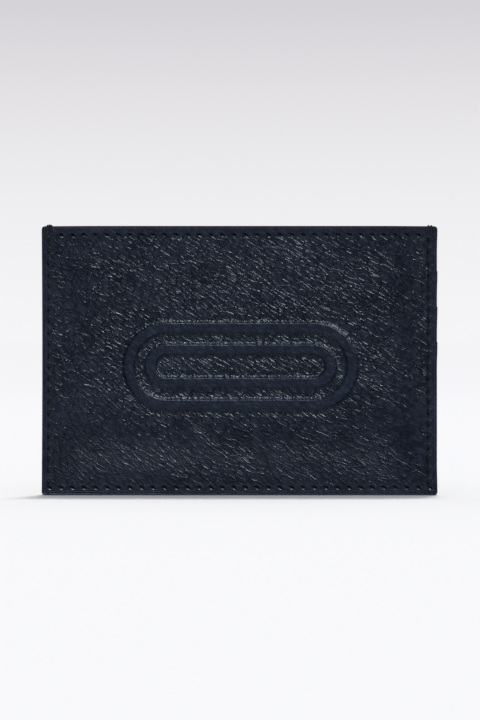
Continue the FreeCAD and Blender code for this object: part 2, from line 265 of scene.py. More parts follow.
def round_corners(x, z, low, high, radius, corners):
    """Bend a grid's square corners round; corners holds the signs of x and z of those that are round."""
    for sx, sz in corners:
        cx = (high[0] if sx > 0 else low[0]) - sx * radius
        cz = (high[1] if sz > 0 else low[1]) - sz * radius
        a, b = sx * (x - cx), sz * (z - cz)
        inside = (a > 0) & (b > 0)
        reach, span = np.maximum(a, b), np.hypot(a, b)
        scale = np.where(inside, reach / np.where(span > 0, span, 1), 1.0)
        x, z = np.where(inside, cx + sx * a * scale, x), np.where(inside, cz + sz * b * scale, z)
    return x, z


def sheet_piece(name, node, side, lines, relief, material, corners=(), roll=0.25 * MM, level=None):
    """A closed sheet: a fine face with relief and rolled edges on the given side, and a plain other face."""
    xs, zs = lines
    nx, nz = len(xs), len(zs)
    grid_x, grid_z = np.meshgrid(xs, zs, indexing="ij")
    inner = cad_face(node, -side)(grid_x, grid_z)
    outer = level(grid_x, grid_z) if level else cad_face(node, side)(grid_x, grid_z)
    low, high = (xs[0], zs[0]), (xs[-1], zs[-1])
    from_edge = np.minimum(
        np.minimum(grid_x - low[0], high[0] - grid_x), np.minimum(grid_z - low[1], high[1] - grid_z)
    )
    drop = 0.8 * roll * (1 - np.sqrt(1 - np.clip(1 - from_edge / roll, 0, 1) ** 2))
    height, marks = relief(grid_x, grid_z)
    outer = outer + side * (height - drop)
    shaped_x, shaped_z = round_corners(grid_x, grid_z, low, high, CORNER - PAINT, corners)
    points = np.stack([shaped_x, outer, shaped_z], axis=-1).reshape(-1, 3)

    fine = np.arange(nx * nz).reshape(nx, nz)
    quads = np.stack([fine[:-1, :-1], fine[1:, :-1], fine[1:, 1:], fine[:-1, 1:]], axis=-1).reshape(-1, 4)
    faces = quads.tolist()
    wanted = np.zeros((nx, nz), dtype=bool)
    wanted[::STRIDE, ::STRIDE] = True
    wanted[[0, -1], :] = True
    wanted[:, [0, -1]] = True
    back = np.full((nx, nz), -1)
    back[wanted] = nx * nz + np.arange(wanted.sum())
    plain = np.stack([shaped_x[wanted], inner[wanted], shaped_z[wanted]], axis=-1)
    for i in range(0, nx - 1, STRIDE):
        for j in range(0, nz - 1, STRIDE):
            a, b = i + STRIDE, j + STRIDE
            loop = [back[k, j] for k in range(i, a)] + [back[a, k] for k in range(j, b)]
            loop += [back[k, b] for k in range(a, i, -1)] + [back[i, k] for k in range(b, j, -1)]
            faces.append([int(corner) for corner in loop if corner >= 0][::-1])
    rim = [(k, 0) for k in range(nx - 1)] + [(nx - 1, k) for k in range(nz - 1)]
    rim += [(k, nz - 1) for k in range(nx - 1, 0, -1)] + [(0, k) for k in range(nz - 1, 0, -1)]
    for a, b in zip(rim, rim[1:] + rim[:1]):
        faces.append([int(fine[a]), int(back[a]), int(back[b]), int(fine[b])])
    if side == BACK:
        faces = [face[::-1] for face in faces]
    flat_marks = {word: values.reshape(-1) for word, values in marks.items()}
    return make_piece(name, np.concatenate([points, plain]), faces, node, material, flat_marks)


def swept(rings):
    """Points and faces of a closed form swept through rings of equally many points, with capped ends."""
    count = len(rings[0])
    faces = []
    for number in range(len(rings) - 1):
        for step in range(count):
            a, b = number * count + step, number * count + (step + 1) % count
            faces.append([a, b, b + count, a + count])
    last = (len(rings) - 1) * count
    faces.append(list(range(count))[::-1])
    faces.append(list(range(last, last + count)))
    return [point for ring in rings for point in ring], faces


def joined(forms):
    """Several forms as one row of points and one of faces."""
    points, faces = [], []
    for form_points, form_faces in forms:
        start = len(points)
        points += form_points
        faces += [[start + corner for corner in face] for face in form_faces]
    return points, faces


def thread_ring(centre, first, second, twist):
    """Section of a three-ply thread in the plane of two directions, turned by its twist."""
    ring = []
    for step in range(THREAD_SIDES):
        angle = 2 * math.pi * step / THREAD_SIDES
        reach = THREAD_RADIUS * (1 + 0.13 * abs(math.cos(3 * (angle + twist) / 2)) - 0.07)
        ring.append(centre + reach * (math.cos(angle) * first + math.sin(angle) * second))
    return ring


def headings(path):
    """Unit directions along a row of points."""
    along = np.gradient(path, axis=0)
    return along / np.linalg.norm(along, axis=1)[:, None]


def stitch_threads(paths):
    """Twisted threads along rows of centre points, two turns to a stitch."""
    forms = []
    for number, path in enumerate(paths):
        path = np.asarray(path)
        along = headings(path)
        side = np.cross(along, (0, 1, 0))
        side /= np.linalg.norm(side, axis=1)[:, None]
        other = np.cross(side, along)
        twists = [4 * math.pi * (k / (len(path) - 1)) + number for k in range(len(path))]
        forms.append(swept([thread_ring(*section) for section in zip(path, side, other, twists)]))
    return joined(forms)


def wrap_threads(paths):
    """Twisted threads that stay in planes of constant x."""
    forms, sideways = [], np.array((1, 0, 0))
    for number, path in enumerate(paths):
        path = np.asarray(path)
        rings = []
        for k, (centre, along) in enumerate(zip(path, headings(path))):
            rings.append(thread_ring(centre, sideways, np.cross(along, (1, 0, 0)), 0.9 * k + number))
        forms.append(swept(rings))
    return joined(forms)


BEAD_RADIUS = 0.20 * MM
BEAD_PROUD = 0.02 * MM      # how far the paint stands over the faces
BEAD_CROWN = 0.03 * MM      # and how far it bulges out of the edge
RIM_LAP, MOUTH_LAP = 0.42 * MM, 0.40 * MM
RIM_GROOVES, MOUTH_GROOVES = (0.30, 0.56), (0.35,)


def bead(path, lap, grooves):
    """A painted edge, swept along rows of (x, z, outward x, outward z, low y, high y); lap is how far it
    reaches over the faces, and grooves the shares of its width at which the layers show as lines."""
    shares = np.linspace(0.0, 1.0, 17)[1:-1]
    arc = [math.radians(angle) for angle in (0, 22, 45, 68, 90)]
    rings = []
    for number, (x, z, out_x, out_z, low, high) in enumerate(path):
        width = high - low
        radius = min(BEAD_RADIUS, 0.45 * width)
        wobble = 0.05 * MM * (waves(np.array(number * 0.6), np.array(0.0), 2.3, 9) - 0.5)
        section = [(-lap + wobble, low + 0.04 * MM), (-lap + wobble + 0.06 * MM, low - BEAD_PROUD)]
        for t in arc:
            y = low - BEAD_PROUD + radius * (1 - math.cos(t))
            section.append((-radius + radius * math.sin(t), y))
        for share in shares:
            line = sum(bell(share - groove, 0.035) for groove in grooves)
            crown = BEAD_CROWN * math.sin(math.pi * share)
            section.append((crown - BEAD_CROWN * line, low + radius + share * (width - 2 * radius)))
        for t in arc:
            y = high + BEAD_PROUD - radius * (1 - math.sin(t))
            section.append((-radius + radius * math.cos(t), y))
        section += [(-lap - wobble + 0.06 * MM, high + BEAD_PROUD), (-lap - wobble, high - 0.04 * MM)]
        rings.append([(x + out_x * offset, y, z + out_z * offset) for offset, y in section])
    return swept(rings)


# ---------------------------------------------------------------- relief of the leather


def row_holes(half_run):
    """Evenly pitched needle holes of a row that is symmetric about zero."""
    count = int(2 * half_run / PITCH + 1e-6) + 1
    return [(number - (count - 1) / 2) * PITCH for number in range(count)]


def level_row(z):
    """Needle holes of a level row, from side seam to side seam."""
    return [(x, z) for x in row_holes(SEAM_X)]


def upright_row(x):
    """Needle holes of a side seam, from the bottom seam to the mouth seam."""
    middle, half_run = (BASE_SEAM_Z + MOUTH_SEAM_Z) / 2, (MOUTH_SEAM_Z - BASE_SEAM_Z) / 2
    return [(x, middle + z) for z in row_holes(half_run)]


BASE_ROW, MOUTH_ROW = level_row(BASE_SEAM_Z), level_row(MOUTH_SEAM_Z)
LEFT_ROW, RIGHT_ROW = upright_row(-SEAM_X), upright_row(SEAM_X)

SLIT_DEPTH = 0.55 * MM
SLIT_REACH = 1.8 * MM       # nothing of a slit is felt further away
# Turn of a slit, half its length, the widths of its lower or left wall and of the other one, and its lip
LEVEL_SLIT = (math.radians(-24), 0.66 * MM, 0.22 * MM, 0.22 * MM, 0.24 * MM)
UPRIGHT_SLIT = (math.radians(74), 0.72 * MM, 0.40 * MM, 0.13 * MM, 0.0)


def holes(x, z, level, upright):
    """Needle holes as slits, falling in level rows with a lip pushed up below, and rising in side seams with
    a steep right wall: the relief, and how deep each place lies in a hole from 0 to 1."""
    height, pit = np.zeros(x.shape), np.zeros(x.shape)
    slits = [(hole, *LEVEL_SLIT) for hole in level] + [(hole, *UPRIGHT_SLIT) for hole in upright]
    for hole, turn, long, wide, steep, lip in slits:
        near = (np.abs(x - hole[0]) < SLIT_REACH) & (np.abs(z - hole[1]) < SLIT_REACH)
        dx, dz = x[near] - hole[0], z[near] - hole[1]
        along = dx * math.cos(turn) + dz * math.sin(turn)
        across = (dz * math.cos(turn) - dx * math.sin(turn)) * (1 if turn < 0 else -1)
        slit = np.exp(-((along / long) ** 4) - (across / np.where(across > 0, steep, wide)) ** 2)
        ridge = np.exp(-(((along - 0.45 * long) / (0.7 * long)) ** 2) - ((across + 1.5 * wide) / wide) ** 2)
        height[near] += lip * ridge - SLIT_DEPTH * slit
        inward = (across - 0.9 * steep) / (1.1 * (wide + steep))
        pit[near] = np.maximum(pit[near], np.exp(-((along / (1.35 * long)) ** 4) - inward**4))
    return height, pit


def ring_distance(x, z):
    """Distance outside the outer line of the debossed frame, negative inside, and the place along it."""
    radius, straight = RING_HEIGHT / 2, (RING_LENGTH - RING_HEIGHT) / 2
    dx, dz = x - RING_X, z - RING_Z
    past = np.clip(np.abs(dx) - straight, 0, None)
    angle = np.arctan2(dz, np.where(past > 0, past, 1e-9))
    place = np.where(past > 0, straight + radius * angle, np.abs(dx)) + 0.2 * (dx > 0) + 0.4 * (dz > 0)
    return np.hypot(past, dz) - radius, place


def ring_gaps(distance):
    """Signed distance from the sides of each sunk line, negative inside the line."""
    return [np.abs(distance - outer + RING_LINE / 2) - RING_LINE / 2 for outer in (0.0, -RING_PITCH)]


def shoulder(gap):
    """Strength of the puckered rim just outside a sunk line."""
    return bell(gap - 0.50 * MM, 0.50 * MM)


def deboss(distance, place):
    """Relief of the two rings: flat sunk lines, whose rolled shoulders are drawn down and puckered."""
    height = np.zeros(distance.shape)
    for number, gap in enumerate(ring_gaps(distance)):
        strokes = waves(place, distance * 0.25, PUCKER_PITCH, 21 + number)
        edge = gap + 0.22 * MM * (strokes - 0.5) + 0.05 * MM
        step, roll = smooth(0.5 - edge / STEP_WIDTH), np.clip(1 - gap / ROLL_WIDTH, 0, 1)
        height -= RING_DEPTH * (0.22 * step + 0.78 * roll)
        height += 0.08 * MM * bell(gap - 1.30 * MM, 0.50 * MM)
        height += shoulder(gap) * PUCKER_HEIGHT * (strokes - 0.5)
    return height


def border(x, side, top_gap):
    """Worked border of a sheet: a pressed crease near its edge and the sunk lines of its side seams."""
    crease = np.minimum(side, top_gap) - 0.85 * MM
    return -0.06 * MM * bell(crease, 0.15 * MM) - 0.05 * MM * bell(SEAM_X - np.abs(x), 0.45 * MM)


def leather_relief(x, z, side, top_gap, seed, level, upright, rings=False):
    """Height of a worked leather face, and the marks that its material reads."""
    worked = 1 - smooth((np.minimum(side, top_gap) - 1.9 * MM) / (1.1 * MM))
    height = border(x, side, top_gap)
    marks = {}
    if rings:
        distance, place = ring_distance(x, z)
        height += deboss(distance, place)
        gaps = ring_gaps(distance)
        for gap in gaps:
            worked = np.maximum(worked, smooth(0.5 - gap / (0.35 * MM)))
        marks["shoulder"] = np.maximum(*(shoulder(gap) for gap in gaps))
        marks["place"] = place / MM
    along, across = flow(x, z)
    crown = grain(along, across, seed)
    rise = smooth((z - 9 * MM) / (28 * MM))
    left, right = 1 - smooth((x + HALF) / (22 * MM)), smooth((x - 14 * MM) / (20 * MM))
    slack = 0.34 + 0.50 * rise * (1 - 0.16 * left) + right * (0.06 - 0.18 * rise)
    height += GRAIN_HEIGHT * (crown - 0.6) * (1 - worked) * slack
    hole_height, marks["pit"] = holes(x, z, level, upright)
    marks["crown"] = crown * (1 - worked) + 0.75 * worked
    marks["worked"], marks["slack"] = worked, slack
    marks["along"], marks["across"] = along / MM, across / MM
    return height + hole_height, marks


def front_relief(x, z):
    """Face of the front panel."""
    side = np.minimum(HALF - np.abs(x), z)
    return leather_relief(x, z, side, TOP - z, 1, BASE_ROW + MOUTH_ROW, LEFT_ROW + RIGHT_ROW, rings=True)


def back_relief(x, z):
    """Face of the back panel, of which the band above the first slot shows."""
    upright = [hole for hole in LEFT_ROW + RIGHT_ROW if hole[1] > MOUTHS[1]]
    return leather_relief(x, z, HALF - np.abs(x), TOP - z, 31, MOUTH_ROW, upright)


def slot_relief(number):
    """Face of a slot's facing, between its mouth and the next one's."""
    mouth, lowest = MOUTHS[number], MOUTHS.get(number + 1, 0.0)
    upright = [hole for hole in LEFT_ROW + RIGHT_ROW if lowest < hole[1] < mouth - 0.8 * MM]
    level = BASE_ROW if number == 3 else []

    def relief(x, z):
        side = HALF - np.abs(x)
        if number == 3:
            side = np.minimum(side, z)
        return leather_relief(x, z, side, mouth - z + 0.9 * MM, 40 + number, level, upright)

    return relief


def weave_relief(x, z):
    """Slack and tiny puckers of a bonded woven lining."""
    height = 0.05 * MM * (waves(x, z, 9 * MM, 71) - 0.5) + 0.02 * MM * (waves(x, z, 2.5 * MM, 72) - 0.5)
    return height, {}


# ---------------------------------------------------------------- materials


class Nodes:
    """A material's node tree, with short calls for the nodes that the materials share."""

    def __init__(self, name):
        self.material = bpy.data.materials.new(name)
        self.material.use_nodes = True
        self.tree = self.material.node_tree
        self.shader = self.tree.nodes["Principled BSDF"]

    def add(self, kind, inputs=(), **settings):
        node = self.tree.nodes.new("ShaderNode" + kind)
        for word, value in settings.items():
            setattr(node, word, value)
        for socket, value in dict(inputs).items():
            self.put(node.inputs[socket], value)
        return node

    def put(self, socket, value):
        if isinstance(value, bpy.types.NodeSocket):
            self.tree.links.new(value, socket)
        else:
            socket.default_value = value

    def millimetres(self, turn=0.0, stretch=1.0):
        """Place on the piece in millimetres, turned in the plane of the faces and drawn out along X."""
        coordinates = self.add("TexCoord").outputs["Object"]
        turned = self.add("VectorRotate", {"Vector": coordinates, "Angle": turn}, rotation_type="Y_AXIS")
        scale = (1000 / stretch, 1000, 1000)
        return self.add("VectorMath", {0: turned.outputs[0], 1: scale}, operation="MULTIPLY").outputs[0]

    def noise(self, place, scale, detail=2.0):
        return self.add("TexNoise", {"Vector": place, "Scale": scale, "Detail": detail}).outputs["Fac"]

    def cells(self, place, scale):
        inputs = {"Vector": place, "Scale": scale}
        return self.add("TexVoronoi", inputs, feature="DISTANCE_TO_EDGE").outputs["Distance"]

    def span(self, value, from_low, from_high, to_low, to_high):
        limits = {"From Min": from_low, "From Max": from_high, "To Min": to_low, "To Max": to_high}
        return self.add("MapRange", {"Value": value, **limits}).outputs["Result"]

    def math(self, operation, a, b):
        return self.add("Math", {0: a, 1: b}, operation=operation).outputs[0]

    def mix(self, factor, a, b):
        sockets = {"Factor": factor, "A": a, "B": b}
        node = self.add("Mix", data_type="RGBA", blend_type="MIX")
        for socket in node.inputs:
            if socket.name in sockets and socket.enabled:
                self.put(socket, sockets[socket.name])
        return next(output for output in node.outputs if output.enabled)

    def mark(self, word):
        return self.add("Attribute", attribute_name=word).outputs["Fac"]

    def bump(self, height, strength, distance, normal=None):
        inputs = {"Height": height, "Strength": strength, "Distance": distance}
        if normal is not None:
            inputs["Normal"] = normal
        return self.add("Bump", inputs).outputs["Normal"]

    def finish(self, **sockets):
        for word, value in sockets.items():
            self.put(self.shader.inputs[word.replace("_", " ")], value)
        return self.material


def leather(name, deep, light, seed):
    """Dyed pebbled leather: creases, folds and low grain darkened as painted shade between polished crowns,
    long folds along the flow, and pores.
    """
    nodes = Nodes(name)
    crown, worked = nodes.mark("crown"), nodes.mark("worked")
    drawn = nodes.math("DIVIDE", nodes.mark("along"), 2.4)
    flow_place = nodes.add("CombineXYZ", {"X": drawn, "Y": nodes.mark("across"), "Z": seed}).outputs[0]
    warp = nodes.add("TexNoise", {"Vector": flow_place, "Scale": 0.30, "Detail": 1.0}).outputs["Color"]
    shift = nodes.add("VectorMath", {0: warp, 1: (0.5, 0.5, 0.5)}, operation="SUBTRACT").outputs[0]
    bend = nodes.add("VectorMath", {0: shift, "Scale": 1.1}, operation="SCALE").outputs[0]
    place = nodes.add("VectorMath", {0: flow_place, 1: bend}, operation="ADD").outputs[0]

    cloud = nodes.noise(nodes.millimetres(), 0.09, 3.0)
    patch = nodes.span(nodes.noise(flow_place, 0.20, 2.0), 0.35, 0.62, 0.70, 1.0)
    crease = nodes.cells(place, 0.88)
    cells = nodes.span(crease, 0.0, 0.135, 0.0, 1.0)
    small = nodes.span(nodes.cells(place, 1.6), 0.0, 0.20, 0.0, 1.0)
    ridge = nodes.math("ABSOLUTE", nodes.math("SUBTRACT", nodes.noise(place, 0.56, 1.0), 0.5), 0.0)
    folds = nodes.span(ridge, 0.0, 0.055, 0.0, 1.0)
    fine = nodes.noise(place, 3.2, 3.0)

    free = nodes.math("MULTIPLY", nodes.span(worked, 0.0, 0.8, 1.0, 0.07), patch)
    free = nodes.math("MULTIPLY", free, nodes.mark("slack"))
    height = nodes.math("ADD", cells, folds)
    height = nodes.math("ADD", height, nodes.math("MULTIPLY", small, 0.12))
    height = nodes.math("ADD", height, nodes.math("MULTIPLY", fine, 0.13))
    normal = nodes.bump(nodes.math("MULTIPLY", height, free), 1.0, 0.00010)
    stroke_place = nodes.add("CombineXYZ", {"X": nodes.mark("place"), "Z": seed}).outputs[0]
    puckers = nodes.math("MULTIPLY", nodes.noise(stroke_place, 1.4, 2.0), nodes.mark("shoulder"))
    normal = nodes.bump(puckers, 1.0, 0.00020, normal)
    pores = nodes.noise(nodes.millimetres(), 8.0, 3.0)
    normal = nodes.bump(pores, 0.20, 0.00003, normal)

    # Painted shade: the colour is darkened in the creases, along the folds, in the small cells and in the low
    # grain, so the crowns stay lighter.
    out_of_crease, off_fold = nodes.span(crease, 0.02, 0.25, 0.0, 1.0), nodes.span(ridge, 0.0, 0.09, 0.2, 1.0)
    dark = nodes.math("MULTIPLY", out_of_crease, off_fold)
    dark = nodes.math("MULTIPLY", dark, nodes.span(small, 0.0, 1.0, 0.72, 1.0))
    grain_shade = nodes.math("MULTIPLY", dark, nodes.span(crown, 0.1, 0.9, 0.55, 1.05))
    tone = nodes.math("ADD", nodes.math("MULTIPLY", grain_shade, 0.70), nodes.span(cloud, 0.3, 0.7, 0.0, 0.25))
    tone = nodes.math("ADD", tone, nodes.math("MULTIPLY", worked, 0.20))
    # Painted shade: the colour goes nearly black in and beside each needle hole.
    tone = nodes.math("SUBTRACT", tone, nodes.math("MULTIPLY", nodes.mark("pit"), 1.5))
    colour = nodes.mix(tone, (*deep, 1), (*light, 1))
    rough = nodes.math("ADD", nodes.span(grain_shade, 0.0, 1.0, 0.36, 0.31), nodes.span(fine, 0.3, 0.7, -0.04, 0.05))
    rough = nodes.math("ADD", rough, nodes.math("MULTIPLY", nodes.mark("pit"), 0.7))
    return nodes.finish(Base_Color=colour, Roughness=rough, IOR=1.5, Normal=normal)


def painted_edge(name):
    """Edge paint: dark, a little glossy, with brush marks along the edge and rubbed patches."""
    nodes = Nodes(name)
    place = nodes.millimetres()
    cloud = nodes.noise(place, 0.5, 3.0)
    colour = nodes.mix(cloud, (0.0045, 0.0046, 0.0062, 1), (0.0125, 0.0122, 0.0145, 1))
    rough = nodes.span(nodes.noise(place, 1.4, 4.0), 0.3, 0.7, 0.56, 0.74)
    normal = nodes.bump(nodes.noise(place, 2.2, 4.0), 0.35, 0.00006)
    return nodes.finish(Base_Color=colour, Roughness=rough, Normal=normal)


def waxed_thread(name):
    """Waxed polyester thread: dark, with fine fibres and a faint sheen."""
    nodes = Nodes(name)
    place = nodes.millimetres(math.radians(35), 4.0)
    fibres = nodes.noise(place, 14.0, 2.0)
    colour = nodes.mix(fibres, (0.0024, 0.0036, 0.0075, 1), (0.0080, 0.0112, 0.0195, 1))
    normal = nodes.bump(fibres, 0.6, 0.00004)
    return nodes.finish(
        Base_Color=colour,
        Roughness=nodes.span(fibres, 0.3, 0.7, 0.62, 0.82),
        Specular_IOR_Level=0.25,
        Sheen_Weight=0.05,
        Normal=normal,
    )


def woven_lining(name):
    """Plain-woven navy lining: threads over and under at a fine pitch, with uneven yarns."""
    nodes = Nodes(name)
    place = nodes.millimetres()
    bands = []
    for direction in ("X", "Z"):
        wave = nodes.add(
            "TexWave",
            {"Vector": place, "Scale": 0.9, "Distortion": 0.6, "Detail": 1.0},
            wave_type="BANDS",
            bands_direction=direction,
        )
        bands.append(wave.outputs["Fac"])
    weave = nodes.math("MAXIMUM", *bands)
    slub = nodes.noise(place, 0.8, 3.0)
    raised = nodes.math("MULTIPLY", weave, slub)
    colour = nodes.mix(raised, (0.009, 0.011, 0.019, 1), (0.030, 0.036, 0.058, 1))
    normal = nodes.bump(weave, 0.7, 0.00008)
    return nodes.finish(
        Base_Color=colour,
        Roughness=nodes.span(slub, 0.3, 0.7, 0.70, 0.85),
        Sheen_Weight=0.25,
        Normal=normal,
    )


def fibre_board(name):
    """Pressed grey-brown reinforcement board with loose fibres."""
    nodes = Nodes(name)
    place = nodes.millimetres(math.radians(20), 3.0)
    fibres = nodes.noise(place, 3.0, 6.0)
    colour = nodes.mix(fibres, (0.10, 0.085, 0.07, 1), (0.24, 0.21, 0.17, 1))
    normal = nodes.bump(fibres, 0.5, 0.00008)
    return nodes.finish(Base_Color=colour, Roughness=nodes.span(fibres, 0.3, 0.7, 0.8, 0.95), Normal=normal)


NAVY = leather("navy_leather", (0.0019, 0.0033, 0.0084), (0.0144, 0.0206, 0.0360), 1.0)
SLOT_NAVY = leather("slot_leather", (0.0021, 0.0035, 0.0087), (0.0149, 0.0212, 0.0368), 8.0)
EDGE = painted_edge("edge_paint")
THREAD = waxed_thread("thread")
LINING = woven_lining("lining_fabric")
BOARD = fibre_board("board")

# ---------------------------------------------------------------- leather sheets

STEP = 0.26 * MM
FINE = 0.13 * MM
RINGS = 0.19 * MM
INNER = HALF - PAINT


def seam_zones(*centres):
    """Finer grid bands over rows of stitches and out to the crease by the nearest edge."""
    return [(centre - 0.8 * MM, centre + 0.8 * MM, FINE) for centre in centres]


def front_level(x, z):
    """Face of the front panel without its relief: a whole thickness in front of its smooth inner face."""
    inner = cad_face("front_leather_panel", BACK)
    rim = np.array([SEAM_X]), np.array([TOP / 2])
    thick = inner(*rim)[0] - cad_face("front_leather_panel", FRONT)(*rim)[0]
    return inner(x, z) - thick


def make_front():
    """The front leather panel, with the debossed frame and three sides of seam plus the mouth seam."""
    reach_x, reach_z = RING_LENGTH / 2 + 1.5 * MM, RING_HEIGHT / 2 + 1.5 * MM
    edge = 0.7 * MM
    fine_x = [(RING_X - reach_x, RING_X + reach_x, RINGS)]
    fine_x += seam_zones(-SEAM_X, SEAM_X, edge - HALF, HALF - edge)
    fine_z = [(RING_Z - reach_z, RING_Z + reach_z, RINGS)]
    fine_z += seam_zones(BASE_SEAM_Z, MOUTH_SEAM_Z, TOP - edge, edge)
    lines = graded(-INNER, INNER, STEP, fine_x), graded(PAINT, TOP - PAINT, STEP, fine_z)
    corners = [(-1, -1), (1, -1), (-1, 1), (1, 1)]
    panel = sheet_piece(
        "front_panel", "front_leather_panel", FRONT, lines, front_relief, NAVY, corners,
        level=front_level,
    )


def make_back():
    """The back leather panel; only its top band is worked finely, since the slots cover the rest."""
    hidden = MOUTHS[1] - 3 * MM
    lines = (
        graded(-INNER, INNER, STEP, seam_zones(-SEAM_X, SEAM_X)),
        graded(PAINT, TOP - PAINT, STEP, [(0, hidden, 2.5 * MM)] + seam_zones(MOUTH_SEAM_Z)),
    )
    corners = [(-1, -1), (1, -1), (-1, 1), (1, 1)]
    panel = sheet_piece(
        "back_panel", "back_leather_panel", BACK, lines, back_relief, NAVY, corners
    )


def make_facings():
    """The leather facing of each card slot."""
    for number, mouth in MOUTHS.items():
        node = f"slot_{number}_facing"
        low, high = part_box(node)
        hidden = MOUTHS.get(number + 1, 0.0) - 3 * MM
        zones = [(low.z, hidden, 2.0 * MM)] if hidden > low.z else []
        if number == 3:
            zones += seam_zones(BASE_SEAM_Z)
        lines = (
            graded(low.x, high.x, STEP, seam_zones(-SEAM_X, SEAM_X)),
            graded(low.z, high.z, STEP, zones),
        )
        corners = [(-1, -1), (1, -1)] if number == 3 else []
        facing = sheet_piece(
            f"slot_{number}_front", node, BACK, lines, slot_relief(number), SLOT_NAVY, corners
        )


def make_linings():
    """The woven linings of the central pocket and of the three slots."""
    sides = {
        "front_lining": BACK, "back_lining": FRONT,
        "slot_1_lining": FRONT, "slot_2_lining": FRONT, "slot_3_lining": FRONT,
    }
    names = {"front_lining": "front_cloth", "back_lining": "back_cloth"}
    for node, side in sides.items():
        low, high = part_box(node)
        name = names.get(node, node.replace("lining", "cloth"))
        lines = graded(low.x, high.x, 1.0 * MM), graded(low.z, high.z, 1.0 * MM)
        if node.startswith("slot"):
            corners = [(-1, -1), (1, -1)] if "3" in node else []
        else:
            corners = [(-1, -1), (1, -1), (-1, 1), (1, 1)]
        cloth = sheet_piece(
            name, node, side, lines, weave_relief, LINING, corners, roll=0.05 * MM
        )


# ---------------------------------------------------------------- painted edges

BACK_STEPS = [("back_leather_panel", TOP)] + [(f"slot_{n}_facing", MOUTHS[n]) for n in (1, 2, 3)]


def back_at_edge(z):
    """Outermost y of the stack on the back at its side edges, falling by a step at each mouth."""
    edge = np.array([HALF - 1.0 * MM])
    y = None
    for node, mouth in BACK_STEPS:
        low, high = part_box(node)
        here = cad_face(node, BACK)(edge, np.array([min(max(z, low.z), high.z)]))[0]
        share = float(smooth((mouth - z) / (0.35 * MM)))
        y = here if y is None else y + (here - y) * share
    return y


def front_at_edge():
    """Outermost y of the stack on the front at its side edges."""
    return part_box("left_edge_paint")[0].y


def make_rim_paint():
    """Paint on the left, right and bottom edges of the whole stack."""
    front = front_at_edge()
    near_mouth = (-0.45 * MM, -0.3 * MM, -0.2 * MM, -0.1 * MM, 0.0, 0.15 * MM)
    steps = [mouth + shift for mouth in MOUTHS.values() for shift in near_mouth]
    heights = sorted([*np.linspace(CORNER, TOP - CORNER, 110), *steps])
    turn = np.linspace(0, math.pi / 2, 9)[1:]
    for name, side in (("left", -1), ("right", 1)):
        path = [(side * HALF, z, side, 0.0, front, back_at_edge(z)) for z in heights]
        for angle in turn:
            out_x, out_z = side * math.cos(angle), math.sin(angle)
            x, z = side * (HALF - CORNER) + CORNER * out_x, TOP - CORNER + CORNER * out_z
            path.append((x, z, out_x, out_z, front, back_at_edge(TOP)))
        points, faces = bead(path, RIM_LAP, RIM_GROOVES)
        if side < 0:
            faces = [face[::-1] for face in faces]
        make_piece(f"{name}_rim", points, faces, f"{name}_edge_paint", EDGE)
    back = back_at_edge(CORNER)
    corner = [math.radians(angle) for angle in np.linspace(180, 270, 9)]
    bend = []
    for angle in corner:
        out_x, out_z = math.cos(angle), math.sin(angle)
        bend.append((-HALF + CORNER * (1 + out_x), CORNER * (1 + out_z), out_x, out_z, front, back))
    straight = np.linspace(-HALF + CORNER, HALF - CORNER, 150)[1:-1]
    path = bend + [(x, 0.0, 0.0, -1.0, front, back) for x in straight]
    path += [(-x, z, -out_x, out_z, low, high) for x, z, out_x, out_z, low, high in bend[::-1]]
    points, faces = bead(path, RIM_LAP, RIM_GROOVES)
    make_piece("bottom_rim", points, faces, "bottom_edge_paint", EDGE)


def make_mouth_paint():
    """Paint along the open edges: the two panels at the top, and each slot's mouth."""
    mouths = {
        "front_mouth": ("front_mouth_edge_paint", "front_leather_panel", "front_lining"),
        "back_mouth": ("back_mouth_edge_paint", "back_leather_panel", "back_lining"),
    }
    for number in MOUTHS:
        parts = f"slot_{number}_mouth_edge_paint", f"slot_{number}_facing", f"slot_{number}_lining"
        mouths[f"slot_{number}_mouth"] = parts
    for name, (node, outer, inner) in mouths.items():
        low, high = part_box(node)
        xs = np.linspace(low.x, high.x, 180)
        zs = np.full(xs.shape, high.z - 1.2 * MM)
        if name == "front_mouth":
            lows, highs = cad_face(outer, FRONT)(xs, zs), cad_face(inner, BACK)(xs, zs)
        else:
            lows, highs = cad_face(inner, FRONT)(xs, zs), cad_face(outer, BACK)(xs, zs)
        path = [(x, high.z, 0.0, 1.0, a, b) for x, a, b in zip(xs, lows, highs)]
        points, faces = bead(path, MOUTH_LAP, MOUTH_GROOVES)
        make_piece(f"{name}_rim", points, [face[::-1] for face in faces], node, EDGE)


# ---------------------------------------------------------------- threads


def stitch_path(start, end, face, side):
    """Centre line of one stitch: up out of a hole, along the leather it is pulled into, and down the next."""
    path = []
    for share in np.linspace(0.0, 1.0, 17):
        x = start[0] + (end[0] - start[0]) * share
        z = start[1] + (end[1] - start[1]) * share
        dive = abs(2 * share - 1) ** 5
        y = face(np.array([x]), np.array([z]))[0] - side * (THREAD_SINK[side] + THREAD_DIVE * dive)
        path.append((x, y, z))
    return path


def row_stitches(row):
    """Stitches from hole to hole, each starting high in one slit and ending low in the next."""
    slant = STITCH_SLANT if row[0][1] == row[1][1] else -STITCH_SLANT
    stitches = []
    for (x, z), (next_x, next_z) in zip(row, row[1:]):
        stitches.append(((x + slant, z + slant), (next_x - slant, next_z - slant)))
    return stitches


def behind(z):
    """The back's outermost leather face at a height."""
    for number in (3, 2, 1):
        if z < MOUTHS[number]:
            return cad_face(f"slot_{number}_facing", BACK)
    return cad_face("back_leather_panel", BACK)


def over_mouths(low, high):
    """Back face under a stitch; one that crosses a slot's mouth bends over it and slants down behind."""
    crossed = [mouth for mouth in MOUTHS.values() if low < mouth < high]
    if not crossed:
        return behind(low)
    mouth = max(crossed)

    def face(x, z):
        share = np.clip((z - mouth) / (high - mouth), 0, 1)
        return behind(low)(x, np.minimum(z, mouth)) * (1 - share) + behind(high)(x, z) * share

    return face


